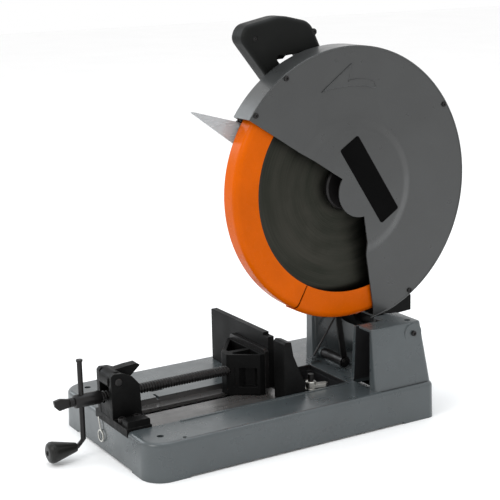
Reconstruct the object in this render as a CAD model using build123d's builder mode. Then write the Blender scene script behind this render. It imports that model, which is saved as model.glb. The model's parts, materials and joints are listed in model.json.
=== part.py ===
from build123d import *
import os
from math import atan, cos, hypot, pi, radians, sin, sqrt, tan

# Dry-cut chop saw for metal: a cast base with a screw vise and fence, and a spring-held cutting head
# that swings down about a shaft between two pillars.  Millimetres.  +X is the operator's right,
# +Y points to the rear, +Z is up, and the origin is the centre of the base's underside.

os.makedirs("parts", exist_ok=True)


def finish(piece, node):
    """Labels a finished sub-part and writes it to its own STEP file."""
    piece.part.label = node
    export_step(piece.part, f"parts/{node}.step")


# ---------------------------------------------------------------- driving dimensions
base_width, base_length, deck_z = 280.0, 443.0, 51.3
base_wall, base_corner_front, base_corner_rear = 5.0, 30.0, 12.0
trough_x0, trough_x1, trough_z = -21.0, 76.0, 43.5
recess_y0, recess_y1, recess_z = 30.0, 117.7, 30.0
bench_x, bench_y, bench_hole_r, lug_r = 111.0, 192.5, 4.5, 26.0

pivot_y, pivot_z, pivot_r = 191.3, 122.5, 8.0
pillar_top = 137.5
near_pillar_x0, near_pillar_x1, near_pillar_y0 = 62.2, 132.3, 124.0
far_pillar_x0, far_pillar_x1, far_pillar_y0 = -62.7, -36.6, 136.5
pillar_rear, pillar_wall = 214.0, 4.5

disc_y, disc_z = 134.7, 321.5
guard_r, guard_x0, guard_x1 = 192.0, 22.6, 62.6
guard_wall = 2.5
cut_y, cut_z, lobe_r = 10.0, -4.0, 36.0
front_cut_deg, rear_cut_deg = 146.7, 278.6
boss_r, plateau_r, boss_height = 101.0, 80.0, 7.0

blade_r, blade_x, blade_body, bore_r = 177.5, 42.5, 2.0, 12.7
blade_teeth, tooth_depth = 72, 4.5
ring_r, ring_inner_r, ring_x0, ring_x1, ring_wall = 180.5, 145.0, 28.5, 57.0, 1.6
guard_from_deg, guard_to_deg = 144.0, 240.6
heel_from_deg, heel_to_deg = 241.2, 286.0
heel_r, heel_x1 = 182.5, 58.0

spindle_r, nose_r = 10.0, 30.0
gearbox_x0, gearbox_x1, split_x = -34.0, 18.0, -26.0
motor_dy, motor_dz, motor_r, motor_x0 = 6.0, 32.0, 50.0, -186.0

screw_x, screw_z, screw_r = 5.0, 78.5, 7.0
fence_y0, fence_y1, fence_top = 14.2, 23.6, 128.0
jaw_z0, jaw_foot_z, jaw_top = 52.0, 44.4, 108.0
lever_pin_y, lever_pin_z = -211.0, 103.5

link_y, link_z, link_length, link_deg = 150.0, 60.8, 225.55, 98.7
link_pin_r, crank_pin_radius, crank_pin_deg = 3.0, 40.6, 245.6

handle_x0, handle_x1 = -23.0, 11.0

fit = 0.05

# ---------------------------------------------------------------- planes and helpers
head = Plane(origin=(0, disc_y, disc_z), x_dir=(0, 1, 0), z_dir=(1, 0, 0))
side = Plane.YZ


def polar(radius, degrees):
    """A point in the disc's plane, measured from +Y towards +Z."""
    return (radius * cos(radians(degrees)), radius * sin(radians(degrees)))


def sector(start, end, reach=400.0):
    """The corners of a wedge from the disc's centre, for trimming a ring."""
    steps = max(2, int((end - start) / 30) + 1)
    turns = [start + (end - start) * i / steps for i in range(steps + 1)]
    return [(0, 0)] + [polar(reach, turn) for turn in turns]


def tube(plane, outer, inner, length, centre=(0, 0)):
    """A plain tube or, with inner 0, a disc, standing on a plane."""
    with BuildPart() as made:
        with BuildSketch(plane):
            with Locations(centre):
                Circle(outer)
                if inner:
                    Circle(inner, mode=Mode.SUBTRACT)
        extrude(amount=length)
    return made.part


def rod(start, end, radius):
    """A round bar from one point to another."""
    direction = Vector(*end) - Vector(*start)
    with BuildPart() as made:
        with BuildSketch(Plane(origin=start, z_dir=direction.normalized())):
            Circle(radius)
        extrude(amount=direction.length)
    return made.part


def socket_screw(origin, direction, head_r, head_h, shank_r, shank):
    """A socket-head screw whose head sits on origin and points along direction."""
    with BuildPart() as made:
        with BuildSketch(Plane(origin=origin, z_dir=direction)):
            Circle(head_r)
        extrude(amount=head_h)
        chamfer(made.faces().sort_by(Axis(origin, direction))[-1].edges(), head_r * 0.12)
        with BuildSketch(Plane(origin=origin, z_dir=direction).offset(head_h)):
            RegularPolygon(head_r * 0.52, 6)
        extrude(amount=-head_h * 0.6, mode=Mode.SUBTRACT)
        with BuildSketch(Plane(origin=origin, z_dir=direction)):
            Circle(shank_r)
        extrude(amount=-shank)
    return made.part


# ---------------------------------------------------------------- base casting
def pillar_shell(x0, x1, y0, y1, lean):
    """A drafted hollow post, as its outer solid and the space inside it."""
    shapes = []
    top, wall = pillar_top, pillar_wall
    for inset, low, high in ((0.0, deck_z - 6, top), (wall, -1.0, top - wall)):
        spread = lean * (top - low) / (top - deck_z)
        with BuildPart() as post:
            with BuildSketch(Plane.XY.offset(low)):
                with Locations(((x0 + x1) / 2, (y0 + y1 + spread) / 2)):
                    RectangleRounded(x1 - x0 - 2 * inset, y1 - y0 + spread - 2 * inset, 6 - inset)
            with BuildSketch(Plane.XY.offset(high)):
                with Locations(((x0 + x1) / 2, (y0 + y1) / 2)):
                    RectangleRounded(x1 - x0 - 1.2 * lean - 2 * inset, y1 - y0 - 2 * inset, 6 - inset)
            loft(ruled=True)
            if inset == 0.0:
                fillet(post.faces().sort_by(Axis.Z)[-1].edges(), 2.5)
        shapes.append(post.part)
    return shapes


near_post, near_hollow = pillar_shell(near_pillar_x0, near_pillar_x1, near_pillar_y0, 206.0, 13.0)
far_post, far_hollow = pillar_shell(far_pillar_x0, far_pillar_x1, far_pillar_y0, pillar_rear, 3.0)

with BuildPart() as base_casting:
    with BuildSketch():
        Rectangle(base_width, base_length)
    extrude(amount=deck_z, taper=1.0)
    uprights = base_casting.edges().filter_by(Axis.Z, tolerance=10)
    fillet(uprights.group_by(Axis.Y)[0], base_corner_front)
    fillet(base_casting.edges().filter_by(Axis.Z, tolerance=10).group_by(Axis.Y)[-1], base_corner_rear)
    fillet(base_casting.faces().sort_by(Axis.Z)[-1].edges(), 6)
    with BuildSketch() as cavity:
        Rectangle(base_width - 2 * base_wall, base_length - 2 * base_wall)
        fillet(cavity.vertices().group_by(Axis.Y)[0], base_corner_front - base_wall)
        fillet(cavity.vertices().group_by(Axis.Y)[-1], base_corner_rear - base_wall)
    extrude(amount=deck_z - base_wall, taper=1.0, mode=Mode.SUBTRACT)
    # the pan that hangs below the deck around the trough and the recess
    with BuildSketch(Plane.XY.offset(trough_z - base_wall)):
        with Locations(((trough_x0 + trough_x1) / 2, (recess_y1 - base_length / 2 + 3) / 2)):
            Rectangle(trough_x1 - trough_x0 + 2 * base_wall, recess_y1 + base_length / 2 - 3)
    extrude(amount=deck_z - trough_z + 2)
    with BuildSketch(Plane.XY.offset(recess_z - base_wall)):
        with Locations(((trough_x0 + trough_x1) / 2, (recess_y0 + recess_y1) / 2)):
            Rectangle(trough_x1 - trough_x0 + 2 * base_wall, recess_y1 - recess_y0 + 2 * base_wall)
    extrude(amount=deck_z - recess_z)
    # raised lip beside the trough
    with BuildSketch(Plane.XY.offset(deck_z - 1)):
        with Locations((trough_x1 + 2.5, -15)):
            SlotOverall(264, 4, rotation=90)
    extrude(amount=2.2)
    add(near_post)
    add(far_post)
    # low cross wall and stepped pads between the pillars
    with BuildSketch(Plane.XY.offset(deck_z - 3)):
        with Locations((13, 214)):
            Rectangle(112, 6)
    extrude(amount=14)
    for pad_x, pad_y, pad_w, pad_d in ((-10, 158, 44, 20), (30, 178, 50, 26)):
        with BuildSketch(Plane.XY.offset(deck_z - 1)):
            with Locations((pad_x, pad_y)):
                RectangleRounded(pad_w, pad_d, 4)
        extrude(amount=3)
    # cavities
    add(near_hollow, mode=Mode.SUBTRACT)
    add(far_hollow, mode=Mode.SUBTRACT)
    with BuildSketch(Plane.XY.offset(trough_z)):
        with Locations(((trough_x0 + trough_x1) / 2, (recess_y1 - base_length / 2 - 20) / 2)):
            Rectangle(trough_x1 - trough_x0, recess_y1 + base_length / 2 + 20)
    extrude(amount=40, mode=Mode.SUBTRACT)
    with BuildSketch(Plane.XY.offset(recess_z)):
        with Locations(((trough_x0 + trough_x1) / 2, (recess_y0 + recess_y1) / 2)):
            RectangleRounded(trough_x1 - trough_x0 - 0.4, recess_y1 - recess_y0 - 0.4, 8)
    extrude(amount=40, mode=Mode.SUBTRACT)
    # the near pillar is open to the front, and its inner top edge is cut away beside the disc
    with BuildSketch(Plane.XY.offset(deck_z)):
        with Locations((near_pillar_x0 + 26.8, near_pillar_y0)):
            Rectangle(57.6, 16)
    extrude(amount=pillar_top - deck_z - 4.5, mode=Mode.SUBTRACT)
    with BuildSketch(Plane.XY.offset(pillar_top - 8)):
        with Locations((near_pillar_x0 + 18.5, near_pillar_y0 + 18)):
            Rectangle(26, 48)
    extrude(amount=20, mode=Mode.SUBTRACT)
    # pivot bosses through both pillars, bored for the shaft's bushes
    add(tube(side.offset(66.5), 14, 0, 60, (pivot_y, pivot_z)))
    add(tube(side.offset(far_pillar_x0 + 2), 14, 0, 24, (pivot_y, pivot_z)))
    add(tube(side.offset(66), 10, 0, 50, (pivot_y, pivot_z)), mode=Mode.SUBTRACT)
    add(tube(side.offset(-66), 10, 0, 40, (pivot_y, pivot_z)), mode=Mode.SUBTRACT)
    add(tube(side.offset(100), 3.0, 0, 40, (pivot_y, pivot_z)), mode=Mode.SUBTRACT)
    # boss for the guard link's stud on the far pillar
    add(tube(side.offset(-38), 8, 0, 8, (link_y, link_z)))
    add(tube(side.offset(-60), 4, 0, 40, (link_y, link_z)), mode=Mode.SUBTRACT)
    # pad that takes the foot of the return spring
    with BuildSketch(Plane.XY.offset(deck_z - 1)):
        with Locations((-29, 128)):
            RectangleRounded(18, 14, 3)
    extrude(amount=5)
    with BuildSketch(Plane.XY.offset(deck_z - 1)):
        with Locations((-25, 127.5)):
            Circle(4)
    extrude(amount=9.8)
    # jaw slot in the trough floor
    with BuildSketch(Plane.XY.offset(trough_z - base_wall - 2)):
        with Locations((screw_x, -84)):
            SlotOverall(196, 17.4, rotation=90)
    extrude(amount=20, mode=Mode.SUBTRACT)
    # lugs at the corners for the bench bolts, which are also what the base stands on
    with BuildSketch():
        with GridLocations(2 * bench_x, 2 * bench_y, 2, 2):
            Circle(lug_r)
    extrude(amount=9)
    with GridLocations(2 * bench_x, 2 * bench_y, 2, 2):
        Hole(bench_hole_r)
    with BuildSketch():
        Rectangle(base_width + 20, 2 * (bench_y - lug_r))
        Rectangle(2 * (bench_x - lug_r), base_length + 20)
    extrude(amount=2.5, mode=Mode.SUBTRACT)
    # small deck holes, and the far edge notches
    with BuildSketch(Plane.XY.offset(20)):
        with Locations((130.9, -168.3), (-130.9, -168.3)):
            Circle(2.6)
        with Locations((-46, -118)):
            Rectangle(5, 18)
    extrude(amount=60, mode=Mode.SUBTRACT)
    with BuildSketch(Plane.XY.offset(deck_z - 4)):
        with Locations((-5.9, 140.7), (-37.6, 126)):
            Circle(2.4)
        with Locations((-27, -129)):
            Rectangle(12, 4)
    extrude(amount=20, mode=Mode.SUBTRACT)
finish(base_casting, "base_casting")

with BuildPart() as pivot_bushes:
    add(tube(side.offset(-60), 10, pivot_r + fit, 22))
    add(tube(side.offset(67), 10, pivot_r + fit, 22))
pivot_bushes.part = Pos(0, pivot_y, pivot_z) * pivot_bushes.part
finish(pivot_bushes, "pivot_bushes")

with BuildPart() as pivot_shaft:
    add(tube(side.offset(-60), pivot_r, 0, 172, (pivot_y, pivot_z)))
    chamfer(pivot_shaft.edges().filter_by(GeomType.CIRCLE), 0.8)
    add(tube(side.offset(104), 2.5, 0, 9, (pivot_y, pivot_z)), mode=Mode.SUBTRACT)
finish(pivot_shaft, "pivot_shaft")

with BuildPart() as pivot_screw:
    add(socket_screw((126.8, pivot_y, pivot_z), (1, 0, 0), 3.6, 3, 2.4, 20))
finish(pivot_screw, "pivot_screw")

# torsion spring round the arm's hub: two turns and a straight leg to an anchor on the deck
spring_wire, spring_coil_r, spring_x = 1.5, 17.0, -25.0
leg_foot = (spring_x, 127.5, 61.7)
with BuildPart() as return_spring:
    with BuildLine() as coil_line:
        Helix(pitch=3.6, height=7.2, radius=spring_coil_r, center=(0, 0, 0), direction=(0, 0, 1))
    with BuildSketch(Plane(origin=coil_line.line @ 0, z_dir=coil_line.line % 0)):
        Circle(spring_wire)
    sweep(path=coil_line.line)
return_spring.part = Plane(
    origin=(spring_x - 7.2, pivot_y, pivot_z), x_dir=(0, -0.82, 0.572), z_dir=(1, 0, 0)
) * return_spring.part
coil_end = Vector(spring_x, pivot_y - spring_coil_r * 0.82, pivot_z + spring_coil_r * 0.572)
with BuildPart() as spring_leg:
    add(rod(leg_foot, (spring_x, coil_end.Y + 1.0, coil_end.Z - 0.7), spring_wire))
return_spring.part = return_spring.part + spring_leg.part
finish(return_spring, "return_spring")

# ---------------------------------------------------------------- fence
with BuildPart() as fence_plate:
    with BuildSketch(Plane.XZ.offset(-fence_y0)):
        with BuildLine():
            Polyline((-124.4, deck_z + 0.2), (34.0, deck_z + 0.2), (34.0, fence_top - 3.5),
                     (21.0, fence_top - 3.5), (21.0, fence_top), (-124.4, fence_top), close=True)
        make_face()
    extrude(amount=-(fence_y1 - fence_y0))
    chamfer(fence_plate.faces().sort_by(Axis.Y)[0].edges().filter_by(Axis.X), 0.8)
    with BuildSketch(Plane.XZ.offset(-fence_y0 + 1)):
        with Locations((-70, 68), (-36, 68)):
            Circle(4.2)
    extrude(amount=-20, mode=Mode.SUBTRACT)
finish(fence_plate, "fence_plate")

with BuildPart() as fence_casting:
    # angle bracket behind the tall plate, standing on the far deck
    with BuildSketch(Plane.XY.offset(deck_z)):
        with Locations((-64, 41)):
            RectangleRounded(84, 34.4, 3)
    extrude(amount=8)
    with BuildSketch(Plane.XY.offset(deck_z)):
        with Locations((-64, fence_y1 + 4.1)):
            Rectangle(84, 8)
    extrude(amount=44)
    for rib_x in (-102, -50, -26):
        with BuildSketch(side.offset(rib_x)):
            with BuildLine():
                Polyline((fence_y1 + 6, deck_z + 7), (56, deck_z + 7), (fence_y1 + 6, 94), close=True)
            make_face()
        extrude(amount=7)
    with BuildSketch(Plane.XZ.offset(-fence_y1 + 1)):
        with Locations((-70, 68), (-36, 68)):
            Circle(4.2)
    extrude(amount=-20, mode=Mode.SUBTRACT)
    with BuildSketch(Plane.XY.offset(deck_z - 1)):
        with Locations((-84, 47), (-35, 47)):
            Circle(4.5)
    extrude(amount=20, mode=Mode.SUBTRACT)
finish(fence_casting, "fence_casting")

# shorter end block on the other side of the blade's slot
end_x0, end_x1 = 49.0, 75.5
with BuildPart() as fence_end_block:
    with BuildSketch(side.offset(end_x0)):
        with BuildLine():
            Polyline((fence_y0, trough_z + 0.1), (fence_y0, fence_top - 4), (fence_y0 + 3, fence_top - 1),
                     (fence_y0 + 11, fence_top - 2.5), (28.6, 106), (47, 62), (48, trough_z + 0.1),
                     (29.5, trough_z + 0.1), (29.5, 42), (24, 42), (24, trough_z + 0.1), close=True)
        make_face()
    extrude(amount=end_x1 - end_x0)
    with BuildSketch(side.offset(end_x0 - 1)):
        with BuildLine():
            Polyline((24, 56), (24, 104), (40.5, 62), (41, 56), close=True)
        make_face()
    extrude(amount=21, mode=Mode.SUBTRACT)
    with BuildSketch(Plane.XZ.offset(-50)):
        with Locations((66, 84)):
            Circle(4.2)
    extrude(amount=30, mode=Mode.SUBTRACT)
fence_end_block.part = fence_end_block.part - (Pos(62, 26.75, 40) * Box(60, 5.7, 7.2))
finish(fence_end_block, "fence_end_block")

clamp_x, clamp_y, stop_top = 66.6, 62.0, 103.7
with BuildPart() as base_bolts:
    for bolt_x in (-84, -35):
        add(socket_screw((bolt_x, 47, deck_z + 8), (0, 0, 1), 7, 8, 4.3, 7.5))
    for bolt_x in (-70, -36):
        with BuildSketch(Plane.XZ.offset(-(fence_y1 + 8.1))):
            with Locations((bolt_x, 68)):
                RegularPolygon(6.0, 6)
        extrude(amount=-5.5)
        with BuildSketch(Plane.XZ.offset(-(fence_y0 + 2))):
            with Locations((bolt_x, 68)):
                Circle(4.0)
        extrude(amount=-(fence_y1 + 6.2 - fence_y0))
    for bolt_y in (-214, -193):
        add(socket_screw((46, bolt_y, trough_z + 11), (0, 0, 1), 5.2, 5.5, 2.5, 10.5))
    # the end block's clamp stud, and the adjustable stop under the arm's tail
    for spot, foot, bolt_top, across_corners, hex_h in (
        ((clamp_x, clamp_y), recess_z, recess_z + 42, 9, 8),
        ((-10, 204), deck_z, stop_top, 7, 7),
    ):
        with BuildSketch(Plane.XY.offset(foot)):
            with Locations(spot):
                Circle(4)
        extrude(amount=bolt_top - foot)
        with BuildSketch(Plane.XY.offset(foot)):
            with Locations(spot):
                RegularPolygon(across_corners, 6)
        extrude(amount=hex_h)
finish(base_bolts, "base_bolts")

# wing lever on the clamp stud behind the end block
with BuildPart() as fence_clamp_lever:
    with BuildSketch(Plane.XY.offset(47)):
        with Locations((clamp_x, clamp_y)):
            Circle(8.2)
    extrude(amount=5)
    with BuildSketch(Plane.XY.offset(53)):
        with BuildLine():
            Polyline((clamp_x - 4, clamp_y), (clamp_x + 1, clamp_y + 22), (clamp_x + 6, clamp_y + 24),
                     (clamp_x + 10, clamp_y + 18), (clamp_x + 7, clamp_y), close=True)
        make_face()
    extrude(amount=4.5)
    with BuildSketch(Plane.XY.offset(47)):
        with Locations((clamp_x, clamp_y)):
            Circle(7.2)
    extrude(amount=15)
    chamfer(fence_clamp_lever.faces().sort_by(Axis.Z)[-1].edges(), 1.0)
    with BuildSketch(Plane.XY.offset(40)):
        with Locations((clamp_x, clamp_y)):
            Circle(4 + fit)
    extrude(amount=40, mode=Mode.SUBTRACT)
finish(fence_clamp_lever, "fence_clamp_lever")

# ---------------------------------------------------------------- vise
cheek_x0, cheek_x1, cheek_t = -11.0, 34.0, 8.0
with BuildPart() as vise_bracket:
    with BuildSketch(Plane.XY.offset(trough_z)):
        with Locations(((trough_x0 + trough_x1) / 2, -203.7)):
            Rectangle(trough_x1 - trough_x0 - 1.0, 35.4)
    extrude(amount=11)
    with BuildSketch(Plane.XY.offset(trough_z)):
        with Locations((67, -203.7)):
            Rectangle(15, 32)
    extrude(amount=20)
    fillet(vise_bracket.edges().filter_by(Axis.X).group_by(Axis.Z)[-1], 2.5)
    for cheek_x in (cheek_x0, cheek_x1 - cheek_t):
        with BuildSketch(side.offset(cheek_x)):
            with BuildLine():
                Polyline((-221.4, 54), (-221.4, 111.5), (-218, 115), (-206, 114.2), (-191.5, 108),
                         (-181.5, 96), (-179.5, 54), close=True)
            make_face()
        extrude(amount=cheek_t)
    # saddle that carries the screw between the cheeks
    with BuildSketch(Plane.XY.offset(54)):
        with Locations(((cheek_x0 + cheek_x1) / 2, -202.5)):
            Rectangle(cheek_x1 - cheek_x0 - 6, 37)
    extrude(amount=screw_z - 54)
    with BuildSketch(Plane.XZ.offset(230)):
        with Locations((screw_x, screw_z)):
            Circle(9.2)
    extrude(amount=-60, mode=Mode.SUBTRACT)
    # room in the far cheek for the half nut to lift through
    with BuildSketch(Plane.XY.offset(screw_z - 1.5)):
        with Locations((0, -190)):
            Rectangle(11.4, 28)
    extrude(amount=60, mode=Mode.SUBTRACT)
    add(tube(side.offset(-30), 5, 0, 70, (lever_pin_y, lever_pin_z)), mode=Mode.SUBTRACT)
    with BuildSketch(Plane.XY.offset(trough_z - 1)):
        with Locations((46, -214), (46, -193), (-19 + 8, -214), (-19 + 8, -193)):
            Circle(2.6)
    extrude(amount=12.6, mode=Mode.SUBTRACT)
finish(vise_bracket, "vise_bracket")

with BuildPart() as lever_pin:
    add(tube(side.offset(cheek_x0 - 3), 5 - 0.02, 0, cheek_x1 - cheek_x0 + 4.5, (lever_pin_y, lever_pin_z)))
    add(tube(side.offset(cheek_x0 - 3), 8, 0, 2.8, (lever_pin_y, lever_pin_z)))
    chamfer(lever_pin.faces().sort_by(Axis.X)[-1].edges(), 1)
finish(lever_pin, "lever_pin")

lever_x0, lever_x1 = cheek_x0 + cheek_t + 0.4, cheek_x1 - cheek_t - 0.4
with BuildPart() as release_lever:
    with BuildSketch(side.offset(lever_x0)):
        with Locations((lever_pin_y, lever_pin_z)):
            Circle(12)
    extrude(amount=lever_x1 - lever_x0)
    with BuildSketch(side.offset(3)):
        with BuildLine():
            Polyline((lever_pin_y, lever_pin_z + 11.4), (-191, 117.3), (-175.8, 118.2), (-171.5, 115.4),
                     (-186.4, 102.5), (-187, 92), (-203, 92), (lever_pin_y, lever_pin_z - 10), close=True)
        make_face()
    extrude(amount=14)
    fillet(release_lever.edges().filter_by(Axis.X).group_by(Axis.Y)[-1], 1.0)
    with BuildSketch(side.offset(-30)):
        with Locations((lever_pin_y, lever_pin_z)):
            Circle(5 + fit)
    extrude(amount=70, mode=Mode.SUBTRACT)
finish(release_lever, "release_lever")

with BuildPart() as half_nut:
    with BuildSketch(Plane.XZ.offset(202)):
        with Locations((screw_x, 85.5)):
            Rectangle(20, 12.8)
    extrude(amount=-16)
    with BuildSketch(Plane.XZ.offset(230)):
        with Locations((screw_x, screw_z)):
            Circle(screw_r + 0.3)
    extrude(amount=-60, mode=Mode.SUBTRACT)
finish(half_nut, "half_nut")

crank_y = -251.5
with BuildPart() as vise_screw:
    with BuildSketch(Plane.XZ.offset(262)):
        with Locations((screw_x, screw_z)):
            Circle(8.9)
    extrude(amount=-38)
    chamfer(vise_screw.faces().sort_by(Axis.Y)[0].edges(), 1.5)
    with BuildSketch(Plane.XZ.offset(226)):
        with Locations((screw_x, screw_z)):
            Circle(screw_r)
    extrude(amount=-198)
    # ball nose, held in the jaw
    with BuildSketch(Plane.XZ.offset(28)):
        with Locations((screw_x, screw_z)):
            Circle(5)
    extrude(amount=-8)
    with BuildSketch(Plane.XZ.offset(20)):
        with Locations((screw_x, screw_z)):
            Circle(6.5)
    extrude(amount=-4)
    with BuildSketch(Plane.XY.offset(screw_z - 12)):
        with Locations((screw_x, crank_y)):
            Circle(3.6)
    extrude(amount=24, mode=Mode.SUBTRACT)
    with BuildSketch(Plane.XZ.offset(263)):
        with Locations((screw_x, screw_z)):
            Circle(2.5)
    extrude(amount=-7.5, mode=Mode.SUBTRACT)
finish(vise_screw, "vise_screw")

# bent crank rod that slides through the end of the screw, and its turning grip
elbow_r, crank_r, crank_top, crank_low = 9.0, 3.5, 134.0, 17.0
with BuildPart() as crank_rod:
    with BuildLine() as crank_path:
        down = Line((screw_x, crank_y, crank_top), (screw_x, crank_y, crank_low + elbow_r))
        bend_start = (screw_x, crank_y, crank_low + elbow_r)
        bend = RadiusArc(bend_start, (screw_x, crank_y - elbow_r, crank_low), -elbow_r)
        Line((screw_x, crank_y - elbow_r, crank_low), (screw_x, -300.5, crank_low))
    with BuildSketch(Plane(origin=(screw_x, crank_y, crank_top), z_dir=(0, 0, -1))):
        Circle(crank_r)
    sweep(path=crank_path.line)
    with BuildSketch(Plane.XY.offset(crank_top - 2.5)):
        with Locations((screw_x, crank_y)):
            Circle(4.4)
    extrude(amount=2.5)
finish(crank_rod, "crank_rod")

with BuildPart() as crank_grip:
    with BuildSketch(Plane(origin=(screw_x, 0, crank_low), x_dir=(0, 1, 0), z_dir=(1, 0, 0))):
        with BuildLine():
            Polyline((-261.6, crank_r + fit), (-261.6, 5.5), (-264, 6.5), (-293, 14), (-297, 14.2),
                     (-300, 12.5), (-301.8, 9), (-301.8, crank_r + fit), close=True)
        make_face()
    revolve(axis=Axis((screw_x, 0, crank_low), (0, 1, 0)))
finish(crank_grip, "crank_grip")

with BuildPart() as wing_screw:
    with BuildSketch(Plane.XZ.offset(262.2)):
        with Locations((screw_x, screw_z)):
            Circle(6)
    extrude(amount=6)
    with BuildSketch(side.offset(screw_x - 2.2)):
        with BuildLine():
            Polyline((-266, screw_z - 5), (-283, screw_z - 7.5), (-288.5, screw_z - 2), (-290, screw_z + 6),
                     (-281, screw_z + 8), (-266, screw_z + 5), close=True)
        make_face()
    extrude(amount=4.4)
    with BuildSketch(Plane.XZ.offset(262.4)):
        with Locations((screw_x, screw_z)):
            Circle(2.45)
    extrude(amount=-6.5)
finish(wing_screw, "wing_screw")

# moving jaw: a hollow V-shaped casting that pushes a flat face against the fence
jaw_back = fence_y0 - 0.4
key_z = trough_z - base_wall - 4
with BuildPart() as jaw_body:
    with BuildSketch(Plane.XY.offset(jaw_z0)):
        with BuildLine():
            Polyline((-58, jaw_back - 6), (-58, jaw_back - 11), (-6, -37), (9, -37), (35, 0),
                     (35, jaw_back - 6), close=True)
        make_face()
    extrude(amount=50)
    fillet(jaw_body.edges().filter_by(Axis.Z).group_by(Axis.Y)[0], 5)
    # foot that slides in the trough, and the key that runs in its slot
    with BuildSketch(Plane.XY.offset(jaw_foot_z)):
        with BuildLine():
            Polyline((-18, jaw_back - 6), (-18, -26), (-6, -37), (9, -37), (35, 0),
                     (35, jaw_back - 6), close=True)
        make_face()
    extrude(amount=jaw_z0 - jaw_foot_z)
    with BuildSketch(Plane.XY.offset(key_z)):
        with Locations((screw_x, -14)):
            Rectangle(32, 34)
    extrude(amount=3.6)
    with BuildSketch(Plane.XY.offset(key_z)):
        with Locations((screw_x, -14)):
            Rectangle(16.4, 34)
    extrude(amount=jaw_foot_z - key_z)
    # pockets from above and from the sides, leaving ribs
    with BuildSketch(Plane.XY.offset(86)):
        with BuildLine():
            Polyline((-50, jaw_back - 11), (-10, -27), (-4, -27), (-2, jaw_back - 11), close=True)
        make_face()
        with BuildLine():
            Polyline((5, -27), (11, -27), (29, -2), (29, jaw_back - 11), (5, jaw_back - 11), close=True)
        make_face()
    extrude(amount=30, mode=Mode.SUBTRACT)
    with BuildSketch(Plane.XY.offset(56)):
        with BuildLine():
            Polyline((24, -40), (18.2, -24), (16.5, -12), (24, -1.5), (50, -6), (40, -40), close=True)
        make_face()
        with BuildLine():
            Polyline((13.5, -40), (13.6, -31), (14.3, -27), (16.6, -28.5), (24, -40), close=True)
        make_face()
        with BuildLine():
            Polyline((-14, -44), (-14, -27), (-48, -1.5), (-70, -6), (-60, -44), close=True)
        make_face()
    extrude(amount=27, mode=Mode.SUBTRACT)
    with BuildSketch(Plane.XZ.offset(50)):
        with Locations((screw_x, screw_z)):
            Circle(7.2)
    extrude(amount=-22.2, mode=Mode.SUBTRACT)
    with BuildSketch(Plane.XZ.offset(30)):
        with Locations((screw_x, screw_z)):
            Circle(7.0)
    extrude(amount=-15, mode=Mode.SUBTRACT)
finish(jaw_body, "jaw_body")

with BuildPart() as jaw_plate:
    with BuildSketch(Plane.XZ.offset(-(jaw_back - 6))):
        with BuildLine():
            Polyline((-60, jaw_z0), (36, jaw_z0), (36, jaw_top - 3), (33, jaw_top), (-57, jaw_top),
                     (-60, jaw_top - 3), close=True)
        make_face()
    extrude(amount=-6)
finish(jaw_plate, "jaw_plate")

with BuildPart() as screw_collar:
    with BuildSketch(Plane.XZ.offset(27.7)):
        with Locations((screw_x, screw_z)):
            Circle(6.95)
            Circle(5.15, mode=Mode.SUBTRACT)
    extrude(amount=-4)
finish(screw_collar, "screw_collar")

with BuildPart() as wire_clip:
    add(rod((-8, -223.2, 47), (-2, -223.4, 30), 0.8))
    with BuildSketch(Plane.XZ.offset(222.6)):
        with Locations((-2, 22)):
            Circle(8.4)
            Circle(6.8, mode=Mode.SUBTRACT)
    extrude(amount=1.6)
finish(wire_clip, "wire_clip")

# ---------------------------------------------------------------- gears, shafts and bearings
pressure_angle = radians(25)


def gear_outline(teeth, module, phase):
    """Corner points of a stub-tooth involute gear, one tooth centred on the angle phase."""
    pitch, base = teeth * module / 2, teeth * module / 2 * cos(pressure_angle)
    tip, root = pitch + 0.78 * module, pitch - 1.05 * module
    involute = tan(pressure_angle) - pressure_angle
    half_pitch = pi / (2 * teeth) - 0.045 * module / pitch
    points = []
    for tooth in range(teeth):
        middle = phase + 2 * pi * tooth / teeth
        flank = []
        for step in range(4):
            radius = max(base, root) + (tip - max(base, root)) * step / 3
            roll = sqrt(max(0.0, (radius / base) ** 2 - 1))
            flank.append((radius, half_pitch + involute - (roll - atan(roll))))
        flank.insert(0, (root, flank[0][1]))
        points += [(r * cos(middle - a), r * sin(middle - a)) for r, a in flank]
        points += [(r * cos(middle + a), r * sin(middle + a)) for r, a in reversed(flank)]
    return points


pinion_teeth, wheel_teeth, fast_module = 10, 42, 1.25
lay_teeth, spindle_teeth, slow_module = 11, 38, 1.5
fast_centres = (pinion_teeth + wheel_teeth) * fast_module / 2
slow_centres = (lay_teeth + spindle_teeth) * slow_module / 2
motor_reach = hypot(motor_dy, motor_dz)
along = (slow_centres**2 - fast_centres**2 + motor_reach**2) / (2 * motor_reach)
across = sqrt(slow_centres**2 - along**2)
lay_dy = (motor_dy * along + motor_dz * across) / motor_reach
lay_dz = (motor_dz * along - motor_dy * across) / motor_reach
to_lay = atan(lay_dz / lay_dy)
lay_to_motor = pi + atan((motor_dz - lay_dz) / (motor_dy - lay_dy))


def gear(teeth, module, phase, centre, x0, width, bore):
    """A spur gear standing on the plane at x0."""
    with BuildPart() as made:
        with BuildSketch(head.offset(x0)):
            with Locations(centre):
                Polygon(*gear_outline(teeth, module, phase), align=None)
                if bore:
                    Circle(bore, mode=Mode.SUBTRACT)
        extrude(amount=width)
    return made.part


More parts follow.
